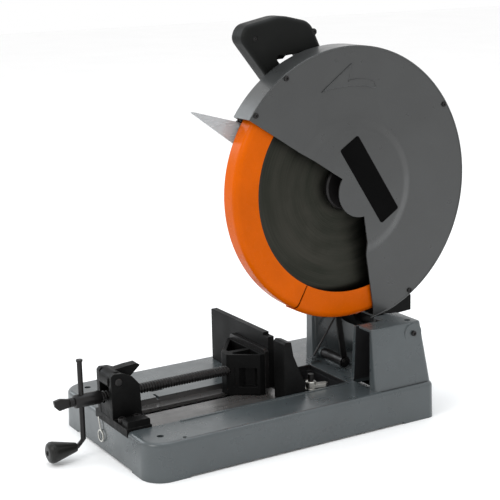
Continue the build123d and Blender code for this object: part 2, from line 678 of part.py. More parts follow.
def ball_bearing(x0, width, outer, inner, centre):
    """Outer race, inner race and a ring of balls, with a light running fit on the shaft."""
    run = 0.02
    ring = (outer - inner - run) / 4
    inner = inner + run
    middle = (outer + inner) / 2
    ball = ring * 0.98
    races = tube(head.offset(x0), outer, outer - ring, width, centre)
    races += tube(head.offset(x0), inner + ring, inner, width, centre)
    balls = [
        head.offset(x0 + width / 2).location
        * Pos(centre[0] + middle * cos(2 * pi * i / 8), centre[1] + middle * sin(2 * pi * i / 8), 0)
        * Sphere(ball)
        for i in range(8)
    ]
    return Compound(children=[solid for solid in races.solids()] + [b.solid() for b in balls])


motor_at, lay_at = (motor_dy, motor_dz), (lay_dy, lay_dz)
with BuildPart() as spindle:
    add(tube(head.offset(-30), 7.5, 0, 18))
    add(tube(head.offset(-13), spindle_r, 0, 46.5))
    add(tube(head.offset(33), 5, 0, 16, (0, 0)), mode=Mode.SUBTRACT)
    with BuildSketch(head.offset(20)):
        Circle(5)
    extrude(amount=14, mode=Mode.SUBTRACT)
finish(spindle, "spindle")

with BuildPart() as spindle_gear:
    add(gear(spindle_teeth, slow_module, to_lay, (0, 0), -12, 10, spindle_r))
finish(spindle_gear, "spindle_gear")

with BuildPart() as layshaft:
    add(tube(head.offset(-30), 4, 0, 46, lay_at))
    add(gear(lay_teeth, slow_module, to_lay + pi + pi / lay_teeth, lay_at, -12.5, 11, 0))
finish(layshaft, "layshaft")

with BuildPart() as layshaft_wheel:
    add(gear(wheel_teeth, fast_module, lay_to_motor, lay_at, -22, 7, 4))
finish(layshaft_wheel, "layshaft_wheel")

with BuildPart() as armature_shaft:
    add(tube(head.offset(-183), 4, 0, 159, motor_at))
    add(gear(pinion_teeth, fast_module, lay_to_motor + pi + pi / pinion_teeth, motor_at, -24, 10, 0))
finish(armature_shaft, "armature_shaft")

with BuildPart() as armature_core:
    with BuildSketch(head.offset(-140)):
        with Locations(motor_at):
            Circle(21)
            Circle(4, mode=Mode.SUBTRACT)
            with PolarLocations(20, 12):
                Rectangle(5, 2.2, mode=Mode.SUBTRACT)
    extrude(amount=62)
    # the commutator is a separate solid of the same wound core
    with BuildSketch(head.offset(-164)):
        with Locations(motor_at):
            Circle(13)
            Circle(4, mode=Mode.SUBTRACT)
    extrude(amount=18)
finish(armature_core, "armature_core")

with BuildPart() as cooling_fan:
    with BuildSketch(head.offset(-60)):
        with Locations(motor_at):
            Circle(40)
            Circle(4, mode=Mode.SUBTRACT)
    extrude(amount=2)
    with BuildSketch(head.offset(-60)):
        with Locations(motor_at):
            Circle(9)
            Circle(4, mode=Mode.SUBTRACT)
    extrude(amount=12)
    with BuildSketch(head.offset(-58.5)):
        with Locations(motor_at):
            with PolarLocations(26, 14):
                Rectangle(22, 1.6)
    extrude(amount=9)
finish(cooling_fan, "cooling_fan")

with BuildPart() as stator:
    with BuildSketch(head.offset(-142)):
        with Locations(motor_at):
            Circle(44)
            Circle(22.5, mode=Mode.SUBTRACT)
    extrude(amount=66)
    with BuildSketch(head.offset(-146)):
        with Locations(motor_at):
            with PolarLocations(32, 2):
                RectangleRounded(14, 44, 6)
    extrude(amount=74)
    add(tube(head.offset(-150), 22.5, 0, 90, motor_at), mode=Mode.SUBTRACT)
finish(stator, "stator")

spindle_bearing = ball_bearing(4, 12, 23.5, spindle_r, (0, 0))
rear_bearing = ball_bearing(-31.0, 8, 17.5, 7.5, (0, 0))
armature_front = ball_bearing(-33.5, 7, 11, 4, motor_at)
armature_rear = ball_bearing(-180, 7, 11, 4, motor_at)
bearings = (spindle_bearing, rear_bearing, armature_front, armature_rear)
bearing_pieces = [piece for bearing in bearings for piece in bearing.solids()]
export_step(Compound(label="ball_bearings", children=bearing_pieces), "parts/ball_bearings.step")

with BuildPart() as layshaft_bushes:
    add(tube(head.offset(-31), 7, 4 + fit, 8, lay_at))
    add(tube(head.offset(4), 7, 4 + fit, 12, lay_at))
finish(layshaft_bushes, "layshaft_bushes")

# ---------------------------------------------------------------- gearbox, arm and motor
case_wall = 4.5


def case_hull(grow):
    """Outline of the gear case around its three shafts."""
    with BuildSketch() as hull:
        Circle(38 + grow)
        with Locations(lay_at):
            Circle(32 + grow)
        with Locations(motor_at):
            Circle(28 + grow)
        make_hull()
    return hull.sketch


with BuildPart() as gearbox_housing:
    with BuildSketch(head.offset(split_x)):
        add(case_hull(case_wall))
    extrude(amount=gearbox_x1 - split_x)
    fillet(gearbox_housing.faces().sort_by(Axis.X)[-1].edges(), 3)
    add(tube(head.offset(gearbox_x1 - 1), nose_r - 3, 0, 6))
    add(tube(head.offset(guard_x0 - 0.1), nose_r, 0, 32.6 - guard_x0 + 0.1))
    with BuildSketch(head.offset(split_x)):
        add(case_hull(0))
    extrude(amount=split_x * -1 + 2.5, mode=Mode.SUBTRACT)
    add(tube(head.offset(0), 23.5, 0, 16.02), mode=Mode.SUBTRACT)
    add(tube(head.offset(14), 13, 0, 30), mode=Mode.SUBTRACT)
    add(tube(head.offset(0), 7, 0, 16.02, lay_at), mode=Mode.SUBTRACT)
finish(gearbox_housing, "gearbox_housing")

with BuildPart() as gearbox_cover:
    with BuildSketch(head.offset(gearbox_x0)):
        add(case_hull(case_wall))
    extrude(amount=split_x - gearbox_x0)
    add(tube(head.offset(-31.02), 17.5, 0, 20), mode=Mode.SUBTRACT)
    add(tube(head.offset(-31.02), 7, 0, 20, lay_at), mode=Mode.SUBTRACT)
    add(tube(head.offset(-33.52), 11, 0, 20, motor_at), mode=Mode.SUBTRACT)
    add(tube(head.offset(-40), 5, 0, 20, motor_at), mode=Mode.SUBTRACT)
finish(gearbox_cover, "gearbox_cover")

with BuildPart() as motor_housing:
    with BuildSketch(head.offset(motor_x0 + 14)):
        with Locations(motor_at):
            Circle(motor_r)
    extrude(amount=gearbox_x0 - motor_x0 - 14)
    with BuildSketch(head.offset(gearbox_x0 - 12)):
        with Locations(motor_at):
            Circle(motor_r + 3)
    extrude(amount=12)
    add(tube(head.offset(motor_x0 + 13), motor_r - 3.5, 0, 106, motor_at), mode=Mode.SUBTRACT)
    add(tube(head.offset(-75), 44, 0, 41.5, motor_at), mode=Mode.SUBTRACT)
    # air slots round both ends
    for slot_x in (-62, -158):
        with BuildSketch(Plane(origin=(slot_x, disc_y + motor_dy, disc_z + motor_dz), z_dir=(0, 0, 1))):
            with GridLocations(0, 9, 1, 7):
                SlotOverall(16, 3.5)
        extrude(amount=-70, mode=Mode.SUBTRACT)
finish(motor_housing, "motor_housing")

with BuildPart() as motor_end_cap:
    with BuildSketch(head.offset(motor_x0)):
        with Locations(motor_at):
            Circle(motor_r)
    extrude(amount=14)
    fillet(motor_end_cap.faces().sort_by(Axis.X)[0].edges(), 8)
    add(tube(head.offset(-180.02), motor_r - 6, 0, 10, motor_at), mode=Mode.SUBTRACT)
    add(tube(head.offset(-182), 14, 0, 9.9, motor_at))
    add(tube(head.offset(-180.02), 11, 0, 12, motor_at), mode=Mode.SUBTRACT)
    add(tube(head.offset(-184), 5, 0, 12, motor_at), mode=Mode.SUBTRACT)
    with BuildSketch(head.offset(motor_x0 - 1)):
        with Locations(motor_at):
            with PolarLocations(29, 10):
                SlotOverall(12, 3.2)
    extrude(amount=12, mode=Mode.SUBTRACT)
finish(motor_end_cap, "motor_end_cap")

with BuildPart() as brush_sets:
    for side_sign in (-1, 1):
        cap_plane = Plane(origin=(-155, disc_y + motor_dy, disc_z + motor_dz), z_dir=(0, side_sign, 0))
        with BuildSketch(cap_plane.offset(13.2)):
            Rectangle(7, 9)
        extrude(amount=20)
        with BuildSketch(cap_plane.offset(motor_r - 1.5)):
            Circle(8)
        extrude(amount=3.5)
        with BuildSketch(cap_plane.offset(motor_r + 0.8)):
            Rectangle(12, 1.6)
        extrude(amount=3, mode=Mode.SUBTRACT)
brush_sets.part = brush_sets.part - tube(head.offset(-170), motor_r, motor_r - 3.5, 30, motor_at)
brush_sets.part = brush_sets.part - tube(head.offset(-170), 13.05, 0, 30, motor_at)
finish(brush_sets, "brush_sets")

arm_x0, arm_x1, arm_hub_r = -20.0, 17.5, 20.0
pivot_local = (pivot_y - disc_y, pivot_z - disc_z)
with BuildPart() as swing_arm:
    with BuildSketch(head.offset(arm_x0)):
        with Locations(pivot_local):
            Circle(arm_hub_r)
        with Locations((14, -58)):
            Circle(29)
        make_hull()
    extrude(amount=arm_x1 - arm_x0)
    with BuildSketch(head.offset(arm_x0 - 2)):
        with BuildLine():
            Polyline((22, -85), (2, -75), (36, -165), (54, -172), close=True)
        make_face()
    extrude(amount=27, mode=Mode.SUBTRACT)
    # saddle that the gear case is bolted to
    with BuildSketch(head.offset(arm_x0)):
        with Locations((16, -40)):
            RectangleRounded(86, 44, 8)
    extrude(amount=arm_x1 - arm_x0)
    # rear stop lug, and the long hub that runs between the pillars
    with BuildSketch(head.offset(arm_x0)):
        with BuildLine():
            Polyline((60, -180), (136, -180.5), (136, -203.5), (96, -206), (80, -217.5), (60, -217.5),
                     close=True)
        make_face()
    extrude(amount=arm_x1 - arm_x0)
    add(tube(head.offset(-36), 12.5, 0, 101.5, pivot_local))
    add(tube(head.offset(-40), pivot_r + fit, 0, 120, pivot_local), mode=Mode.SUBTRACT)
    with BuildSketch(head.offset(-30)):
        add(case_hull(case_wall + 0.05))
    extrude(amount=60, mode=Mode.SUBTRACT)
    with BuildSketch(head.offset(arm_x0 - 1)):
        with Locations((-10, -54), (42, -54)):
            Circle(3.05)
    extrude(amount=12, mode=Mode.SUBTRACT)
finish(swing_arm, "swing_arm")

# ---------------------------------------------------------------- blade and its clamp
with BuildPart() as blade:
    with BuildSketch(head.offset(blade_x - blade_body / 2)):
        outline = []
        for tooth in range(blade_teeth):
            turn = 360 / blade_teeth * tooth
            outline += [polar(blade_r - tooth_depth, turn), polar(blade_r, turn + 0.5),
                        polar(blade_r - 0.5, turn + 1.8), polar(blade_r - tooth_depth, turn + 3.8)]
        Polygon(*outline, align=None)
        Circle(bore_r, mode=Mode.SUBTRACT)
        with PolarLocations(blade_r - 16, 6):
            Circle(2.2, mode=Mode.SUBTRACT)
    extrude(amount=blade_body)
finish(blade, "blade")

flange_r = 32.0
with BuildPart() as inner_flange:
    add(tube(head.offset(33.6), flange_r, 0, blade_x - 1 - 33.6))
    chamfer(inner_flange.faces().sort_by(Axis.X)[0].edges(), 2)
    add(tube(head.offset(41), bore_r - 0.02, 0, 1.8))
    add(tube(head.offset(30), 5.05, 0, 20), mode=Mode.SUBTRACT)
finish(inner_flange, "inner_flange")

with BuildPart() as outer_flange:
    add(tube(head.offset(blade_x + 1), flange_r, 0, 6))
    chamfer(outer_flange.faces().sort_by(Axis.X)[-1].edges(), 2)
    add(tube(head.offset(40), 5.05, 0, 20), mode=Mode.SUBTRACT)
finish(outer_flange, "outer_flange")

with BuildPart() as arbor_bolt:
    add(socket_screw((blade_x + 7, disc_y, disc_z), (1, 0, 0), 9, 7.5, 4.98, 27))
finish(arbor_bolt, "arbor_bolt")

# ---------------------------------------------------------------- blade guard
cover_region = [(cut_y, cut_z), polar(400, front_cut_deg), polar(400, 180), polar(500, 225), polar(400, 270),
                (cut_y + 400 * cos(radians(rear_cut_deg)), cut_z + 400 * sin(radians(rear_cut_deg)))]


def guard_face(radius, with_lobe):
    """The disc with its open sector taken out, and the round lobe over the hub if asked."""
    with BuildSketch() as face:
        Circle(radius)
        Polygon(*cover_region, align=None, mode=Mode.SUBTRACT)
        if with_lobe:
            with Locations((cut_y, cut_z)):
                Circle(lobe_r)
    return face.sketch


cover_t, cover_x = 2.0, guard_x1 - 2.0
screw_places = [polar(186.6, turn) for turn in (123.5, 143.4, 33.0, -58.1)]
with BuildPart() as guard_housing:
    with BuildSketch(head.offset(guard_x0)):
        add(guard_face(guard_r, False))
        Circle(50)
        Circle(nose_r + fit, mode=Mode.SUBTRACT)
        with BuildLine():
            Polyline((0, 0), polar(60, front_cut_deg + 8), polar(70, 215), polar(60, rear_cut_deg - 4),
                     close=True)
        make_face(mode=Mode.SUBTRACT)
        Circle(nose_r + fit, mode=Mode.SUBTRACT)
    extrude(amount=guard_wall)
    with BuildSketch(head.offset(guard_x0)):
        Circle(guard_r)
        Circle(guard_r - guard_wall, mode=Mode.SUBTRACT)
        Polygon(*cover_region, align=None, mode=Mode.SUBTRACT)
    extrude(amount=cover_x - guard_x0)
    with BuildSketch(head.offset(guard_x0)):
        with Locations(*screw_places):
            Circle(4.6)
        Circle(guard_r - 1, mode=Mode.INTERSECT)
    extrude(amount=cover_x - guard_x0)
    with BuildSketch(head.offset(cover_x - 10)):
        with Locations(*screw_places):
            Circle(1.9)
    extrude(amount=12, mode=Mode.SUBTRACT)
    # two posts that the handle's foot is screwed to
    for post in ((72, 457), (134, 452)):
        add(tube(side.offset(handle_x1 + 0.02), 6, 0, guard_x0 - handle_x1, post))
finish(guard_housing, "guard_housing")

with BuildPart() as guard_cover:
    with BuildSketch(head.offset(cover_x)):
        add(guard_face(guard_r, True))
    extrude(amount=cover_t)
    # drawn boss over the hub, hollow behind
    with BuildSketch(head.offset(guard_x1 - 0.5)):
        Circle(boss_r)
    with BuildSketch(head.offset(guard_x1 + boss_height)):
        Circle(plateau_r)
    loft()
    with BuildSketch(head.offset(cover_x - 0.1)):
        Circle(boss_r - 2.2)
    with BuildSketch(head.offset(guard_x1 + boss_height - cover_t)):
        Circle(plateau_r - 1.6)
    loft(mode=Mode.SUBTRACT)
    # keep the boss inside the cover's own outline
    with BuildSketch(head.offset(cover_x - 5)):
        add(guard_face(guard_r, True))
    extrude(amount=30, mode=Mode.INTERSECT)
    # raised arrow that shows which way the blade turns
    with BuildSketch(head.offset(guard_x1 - 0.2)):
        with BuildLine():
            Polyline((-48, 133.5), (0, 168), (-6, 145.4))
            ThreePointArc((-6, 145.4), polar(147.5, 84), polar(147, 76))
            Line(polar(147, 76), polar(138.5, 73.5))
            ThreePointArc(polar(138.5, 73.5), polar(137.6, 92), (-48, 133.5))
        make_face()
    extrude(amount=1.3, taper=25)
    with BuildSketch(head.offset(cover_x - 1)):
        with Locations(*screw_places):
            Circle(2.2)
    extrude(amount=6, mode=Mode.SUBTRACT)
finish(guard_cover, "guard_cover")

with BuildPart() as cover_screws:
    for place in screw_places:
        add(socket_screw((guard_x1, disc_y + place[0], disc_z + place[1]), (1, 0, 0), 3.6, 2.2, 1.85, 10))
finish(cover_screws, "cover_screws")

badge_deg, badge_x = -57.6, guard_x1 + boss_height
with BuildPart() as badge_plate:
    with BuildSketch(head.offset(badge_x)):
        with Locations(Location((24.4, 9.9, 0), (0, 0, badge_deg))):
            RectangleRounded(127, 34, 3)
    extrude(amount=0.8)
finish(badge_plate, "badge_plate")


def ring_channel(start, end, ring_r, ring_x1):
    """A U-shaped arc that straddles the blade's rim, open towards the centre."""
    edge_round = 9.0
    with BuildPart() as hollow:
        with BuildSketch(head.offset(ring_x0 + ring_wall)):
            Circle(ring_r - ring_wall)
        extrude(amount=ring_x1 - ring_x0 - 2 * ring_wall)
        fillet(hollow.faces().sort_by(Axis.X)[-1].edges(), edge_round - ring_wall)
    with BuildPart() as made:
        with BuildSketch(head.offset(ring_x0)):
            Circle(ring_r)
        extrude(amount=ring_x1 - ring_x0)
        fillet(made.faces().sort_by(Axis.X)[-1].edges(), edge_round)
        add(hollow.part, mode=Mode.SUBTRACT)
        add(tube(head.offset(ring_x0 - 5), ring_inner_r, 0, 60), mode=Mode.SUBTRACT)
        with BuildSketch(head.offset(ring_x0 - 5)):
            Polygon(*sector(start, end), align=None)
        extrude(amount=60, mode=Mode.INTERSECT)
    return made.part


carrier_r = 42.0
with BuildPart() as lower_guard:
    add(ring_channel(guard_from_deg, guard_to_deg, ring_r, ring_x1))
finish(lower_guard, "lower_guard")

with BuildPart() as guard_carrier:
    with BuildSketch(head.offset(ring_x0 - 2.2)):
        Circle(carrier_r)
        for turn in (guard_from_deg + 8, (guard_from_deg + guard_to_deg) / 2, guard_to_deg - 8):
            with Locations(Location((0, 0, 0), (0, 0, turn))):
                with Locations((92, 0)):
                    Rectangle(130, 16)
        Circle(nose_r + 0.06, mode=Mode.SUBTRACT)
    extrude(amount=2.15)
    crank_pin = polar(crank_pin_radius, crank_pin_deg)
    add(tube(head.offset(ring_x0 - 10), link_pin_r, 0, 9, crank_pin))
finish(guard_carrier, "guard_carrier")

with BuildPart() as guard_ring_clip:
    with BuildSketch(head.offset(ring_x0 + 0.6)):
        Circle(33)
        Circle(nose_r, mode=Mode.SUBTRACT)
    extrude(amount=1.4)
finish(guard_ring_clip, "guard_ring_clip")

with BuildPart() as guard_heel:
    add(ring_channel(heel_from_deg, heel_to_deg, heel_r, heel_x1))
    with BuildSketch(head.offset(guard_x0 + guard_wall + 0.05)):
        Circle(ring_r - 6)
        Circle(ring_r - 30, mode=Mode.SUBTRACT)
        Polygon(*sector(280, heel_to_deg), align=None, mode=Mode.INTERSECT)
    extrude(amount=ring_x0 - guard_x0 - guard_wall)
finish(guard_heel, "guard_heel")

link_end = (link_y + link_length * cos(radians(link_deg)), link_z + link_length * sin(radians(link_deg)))
with BuildPart() as guard_link:
    with BuildSketch(side.offset(18.9)):
        with Locations((link_y, link_z), link_end):
            Circle(8.4)
        link_middle = ((link_y + link_end[0]) / 2, (link_z + link_end[1]) / 2, 0)
        with Locations(Location(link_middle, (0, 0, link_deg))):
            Rectangle(link_length, 9)
        with Locations((link_y, link_z)):
            Circle(4 + fit, mode=Mode.SUBTRACT)
        with Locations(link_end):
            Circle(5.8, mode=Mode.SUBTRACT)
    extrude(amount=3)
finish(guard_link, "guard_link")

with BuildPart() as link_stud:
    add(tube(side.offset(-56), 4, 0, 81, (link_y, link_z)))
    add(tube(side.offset(22.4), 6.5, 4, 2, (link_y, link_z)))
    add(tube(side.offset(-29.9), 7, 4, 48.3, (link_y, link_z)))
finish(link_stud, "link_stud")

# ---------------------------------------------------------------- handle, switch and shield
handle_mid = (handle_x0 + handle_x1) / 2
handle_corners = [(-3, 524), (3, 543), (60, 554.5), (106, 544), (155, 441), (60, 443)]
handle_rounds = [14, 18, 60, 24, 9, 8]
handle_window = [(42, 506), (62, 501), (92, 504), (104, 486), (112, 462), (78, 463)]


def handle_block(inset):
    """The whole D-shaped handle as one solid, or with an inset the space inside its walls."""
    with BuildPart() as made:
        with BuildSketch(side.offset(handle_x0 + inset)) as outline:
            Polygon(*handle_corners, align=None)
            for (corner_y, corner_z), rounding in zip(handle_corners, handle_rounds):
                spots = outline.sketch_local.vertices()
                fillet(min(spots, key=lambda spot: abs(spot.X - corner_y) + abs(spot.Y - corner_z)), rounding)
            if inset:
                offset(amount=-inset)
        extrude(amount=handle_x1 - handle_x0 - 2 * inset)
        if not inset:
            fillet(made.faces().filter_by(Axis.X).edges(), 7)
        with BuildSketch(side.offset(handle_x0 - 5)) as window:
            Polygon(*handle_window, align=None)
            fillet(window.vertices(), 5)
            if inset:
                offset(amount=inset)
        extrude(amount=60, mode=Mode.SUBTRACT)
    return made.part


screw_spots = ((92, 452.6), (122, 453.0), (18, 526), (110, 530))
inlet_y, inlet_z, inlet_face = 141.3, 470.0, (0, 0.903, 0.43)
inlet = Plane(origin=(handle_mid, inlet_y, inlet_z), x_dir=(1, 0, 0), z_dir=inlet_face)
handle_solid = handle_block(0.0) - handle_block(3.5) - tube(inlet.offset(-12), 4.2, 0, 20)
for spot in screw_spots:
    handle_solid = handle_solid + tube(side.offset(handle_x0 + 1), 4.6, 0, handle_x1 - handle_x0 - 2, spot)
    handle_solid = handle_solid - tube(side.offset(-16), 1.72, 0, 40, spot)
    handle_solid = handle_solid - tube(side.offset(8.4), 3.4, 0, 20, spot)
trigger_y = 61.0
trigger_box = Pos(handle_mid, trigger_y, 503) * Box(11, 27, 24)
for node, keep_side in (("handle_shell_near", 1), ("handle_shell_far", -1)):
    half = Pos(handle_mid + keep_side * 50, 70, 500) * Box(100, 300, 200)
    with BuildPart() as handle_shell:
        add(handle_solid)
        add(half, mode=Mode.INTERSECT)
        add(trigger_box, mode=Mode.SUBTRACT)
    finish(handle_shell, node)

with BuildPart() as switch_body:
    with BuildSketch(Plane.XY.offset(520.5)):
        with Locations((handle_mid, trigger_y)):
            Rectangle(14, 32)
    extrude(amount=18)
finish(switch_body, "switch_body")

with BuildPart() as trigger:
    with BuildSketch(side.offset(handle_mid - 5)):
        with BuildLine():
            Polyline((trigger_y - 12.5, 513.5), (trigger_y - 11, 500), (trigger_y - 6, 495.5),
                     (trigger_y + 6, 496), (trigger_y + 11.5, 501), (trigger_y + 12, 513.5), close=True)
        make_face()
    extrude(amount=10)
finish(trigger, "trigger")

with BuildPart() as head_screws:
    for bolt in ((-10, -54), (42, -54)):
        add(socket_screw((arm_x0, disc_y + bolt[0], disc_z + bolt[1]), (-1, 0, 0), 5, 5, 3, 6))
    for spot in screw_spots:
        add(socket_screw((8.4, spot[0], spot[1]), (1, 0, 0), 3.2, 2, 1.7, 24))
finish(head_screws, "head_screws")

shield_x = 18.8
with BuildPart() as chip_shield:
    with BuildSketch(side.offset(shield_x)):
        with BuildLine():
            Polyline((-87, 438.5), (-84, 439.3), (-17, 420.5), (6, 410), (10, 392), (-4, 377.5), (-12, 382.5),
                     close=True)
        make_face()
    extrude(amount=3)
    fillet(chip_shield.edges().filter_by(Axis.X), 0.8)
finish(chip_shield, "chip_shield")

with BuildPart() as shield_bracket:
    with BuildSketch(side.offset(shield_x - 3)):
        with BuildLine():
            Polyline((-18, 421), (-8, 428), (14, 412), (12, 398), (-6, 405), close=True)
        make_face()
    extrude(amount=2.95)
finish(shield_bracket, "shield_bracket")

with BuildPart() as cable_inlet:
    with BuildSketch(inlet.offset(0.05)):
        Circle(8)
        Circle(4.2, mode=Mode.SUBTRACT)
    extrude(amount=9)
    fillet(cable_inlet.edges().filter_by(GeomType.CIRCLE).group_by(SortBy.RADIUS)[-1].sort_by(Axis.Y)[-1], 2)
finish(cable_inlet, "cable_inlet")
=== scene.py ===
import json
import math

import bmesh
import bpy
from mathutils import Matrix, Vector


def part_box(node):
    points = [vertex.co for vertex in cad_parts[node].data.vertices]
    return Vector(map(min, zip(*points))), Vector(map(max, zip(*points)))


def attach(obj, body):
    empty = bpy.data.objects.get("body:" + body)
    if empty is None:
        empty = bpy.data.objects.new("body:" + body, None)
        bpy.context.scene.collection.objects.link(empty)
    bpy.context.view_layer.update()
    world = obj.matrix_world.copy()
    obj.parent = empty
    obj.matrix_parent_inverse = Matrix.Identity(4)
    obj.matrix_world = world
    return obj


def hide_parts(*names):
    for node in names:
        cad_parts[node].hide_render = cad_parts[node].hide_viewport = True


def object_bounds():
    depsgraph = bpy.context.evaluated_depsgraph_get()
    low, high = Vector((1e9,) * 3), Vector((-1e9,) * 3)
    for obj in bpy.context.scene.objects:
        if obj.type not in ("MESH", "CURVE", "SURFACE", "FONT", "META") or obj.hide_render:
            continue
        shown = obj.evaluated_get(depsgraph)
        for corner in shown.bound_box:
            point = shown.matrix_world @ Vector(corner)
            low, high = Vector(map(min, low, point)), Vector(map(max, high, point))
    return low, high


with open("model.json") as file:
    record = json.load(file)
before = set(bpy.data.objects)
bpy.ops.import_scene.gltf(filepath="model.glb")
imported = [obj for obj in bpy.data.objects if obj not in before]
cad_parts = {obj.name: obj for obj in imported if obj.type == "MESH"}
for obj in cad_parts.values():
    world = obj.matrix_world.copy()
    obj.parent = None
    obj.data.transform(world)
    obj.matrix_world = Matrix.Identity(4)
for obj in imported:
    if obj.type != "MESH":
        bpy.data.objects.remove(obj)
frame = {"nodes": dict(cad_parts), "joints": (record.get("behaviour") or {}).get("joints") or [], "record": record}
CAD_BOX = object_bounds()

MM = 0.001
BEVEL_SAMPLES = 6
record = frame["record"]
scene = bpy.context.scene
joint_of = {j["name"]: j for j in frame["joints"]}
DISC = Vector(joint_of["blade_spin"]["pos_m"])
SCREW = Vector(joint_of["screw_spin"]["pos_m"])


# ---------------------------------------------------------------- shader building
class Shader:
    """A material's node tree with short ways to add nodes.  Textures use the row frame's own metres."""

    def __init__(self, name):
        self.material = bpy.data.materials.new(name)
        self.material.use_nodes = True
        self.tree = self.material.node_tree
        self.tree.nodes.clear()
        self.output = self.tree.nodes.new("ShaderNodeOutputMaterial")
        self.principled = self.tree.nodes.new("ShaderNodeBsdfPrincipled")
        self.tree.links.new(self.principled.outputs[0], self.output.inputs[0])
        self.place = self.node("ShaderNodeTexCoord").outputs["Object"]
        self.geometry = self.node("ShaderNodeNewGeometry")

    def node(self, kind, **inputs):
        made = self.tree.nodes.new(kind)
        for key, value in inputs.items():
            self.feed(made, key, value)
        return made

    def feed(self, made, key, value):
        if isinstance(key, str):
            key = key.replace("_", " ")
        socket = made.inputs[key]
        if isinstance(value, bpy.types.NodeSocket):
            self.tree.links.new(value, socket)
        else:
            socket.default_value = value

    def math(self, operation, *values):
        made = self.tree.nodes.new("ShaderNodeMath")
        made.operation = operation
        for i, value in enumerate(values):
            self.feed(made, i, value)
        return made.outputs[0]

    def vector(self, operation, *values):
        made = self.tree.nodes.new("ShaderNodeVectorMath")
        made.operation = operation
        for i, value in enumerate(values):
            self.feed(made, i, value)
        return made.outputs["Value"] if operation == "DOT_PRODUCT" else made.outputs[0]

    def axes(self, vector=None):
        parts = self.node("ShaderNodeSeparateXYZ", Vector=vector or self.place)
        return parts.outputs[0], parts.outputs[1], parts.outputs[2]

    def about_axle(self, centre):
        """Distance from an axle along X, and the place's Y and Z measured from it."""
        _, y, z = self.axes(self.vector("SUBTRACT", self.place, tuple(centre)))
        squared = self.math("ADD", self.math("MULTIPLY", y, y), self.math("MULTIPLY", z, z))
        return self.math("SQRT", squared), y, z

    def noise(self, per_metre, detail=3.0, stretch=(1, 1, 1), roughness=0.55):
        at = self.vector("MULTIPLY", self.place, stretch)
        made = self.node("ShaderNodeTexNoise", Vector=at, Scale=per_metre, Detail=detail,
                         Roughness=roughness)
        return made.outputs[0]

    def remap(self, value, low, high, to_low=0.0, to_high=1.0, smooth=False):
        made = self.tree.nodes.new("ShaderNodeMapRange")
        if smooth:
            made.interpolation_type = "SMOOTHSTEP"
        for i, item in enumerate((value, low, high, to_low, to_high)):
            self.feed(made, i, item)
        return made.outputs[0]

    def mix(self, share, first, second):
        made = self.tree.nodes.new("ShaderNodeMix")
        made.data_type = "RGBA"
        self.feed(made, 0, share)
        self.feed(made, 6, first if isinstance(first, bpy.types.NodeSocket) else (*first, 1))
        self.feed(made, 7, second if isinstance(second, bpy.types.NodeSocket) else (*second, 1))
        return made.outputs[2]

    def within(self, value, low, high):
        above, below = self.math("GREATER_THAN", value, low), self.math("LESS_THAN", value, high)
        return self.math("MULTIPLY", above, below)

    def in_box(self, low, high):
        share = None
        for value, a, b in zip(self.axes(), low, high):
            inside = self.within(value, a, b)
            share = inside if share is None else self.math("MULTIPLY", share, inside)
        return share

    def soft_edges(self, radius):
        made = self.node("ShaderNodeBevel", Radius=radius)
        made.samples = BEVEL_SAMPLES
        return made.outputs[0]

    def edge_mask(self, radius, patchiness, amount):
        """Where the surface turns sharply, broken up by noise, as paint wears on corners."""
        turn = self.vector("DOT_PRODUCT", self.soft_edges(radius), self.geometry.outputs["Normal"])
        edge = self.remap(turn, 0.998, 0.86, smooth=True)
        broken = self.remap(self.noise(patchiness, 4), 0.46, 0.62, smooth=True)
        return self.math("MULTIPLY", self.math("MULTIPLY", edge, broken), amount)

    def bump(self, height, distance, normal=None):
        made = self.node("ShaderNodeBump", Height=height, Distance=distance)
        if normal is not None:
            self.feed(made, "Normal", normal)
        return made.outputs[0]

    def finish(self, color, roughness, normal=None, **sockets):
        self.feed(self.principled, "Base Color", color)
        self.feed(self.principled, "Roughness", roughness)
        if normal is not None:
            self.feed(self.principled, "Normal", normal)
        for key, value in sockets.items():
            self.feed(self.principled, key, value)
        return self.material


def mottled(t, color, spread, per_metre, detail=4):
    """A colour that drifts lighter and darker by a share of itself."""
    dark = tuple(c * (1 - spread) for c in color)
    light = tuple(c * (1 + spread) for c in color)
    return t.mix(t.remap(t.noise(per_metre, detail), 0.3, 0.7), dark, light)


def enamel(name, color, roughness, wear, wear_color, peel=0.00003, dent=0.00012, coat=0.25, zone=None,
           gloss=0.5):
    """Sprayed gloss paint: orange peel, faint waves in the metal, speck dust and chipped corners."""
    t = Shader(name)
    dust = tuple(min(1, c * 1.7 + 0.02) for c in color)
    tone = t.mix(t.remap(t.noise(420, 2), 0.60, 0.75, 0.0, 0.16), mottled(t, color, 0.10, 14), dust)
    rough = t.remap(t.noise(38, 5), 0.3, 0.7, roughness - 0.07, roughness + 0.09)
    if zone:
        tone, rough = zone(t, tone, rough)
    chipped = t.edge_mask(0.0011, 120, wear)
    tone = t.mix(chipped, tone, wear_color)
    rough = t.math("ADD", rough, t.math("MULTIPLY", chipped, 0.12))
    waves = t.bump(t.noise(22, 2), dent, t.soft_edges(0.0009))
    normal = t.bump(t.noise(700, 2), peel, waves)
    return t.finish(tone, rough, normal, Coat_Weight=coat, Coat_Roughness=0.18, Specular_IOR_Level=gloss)


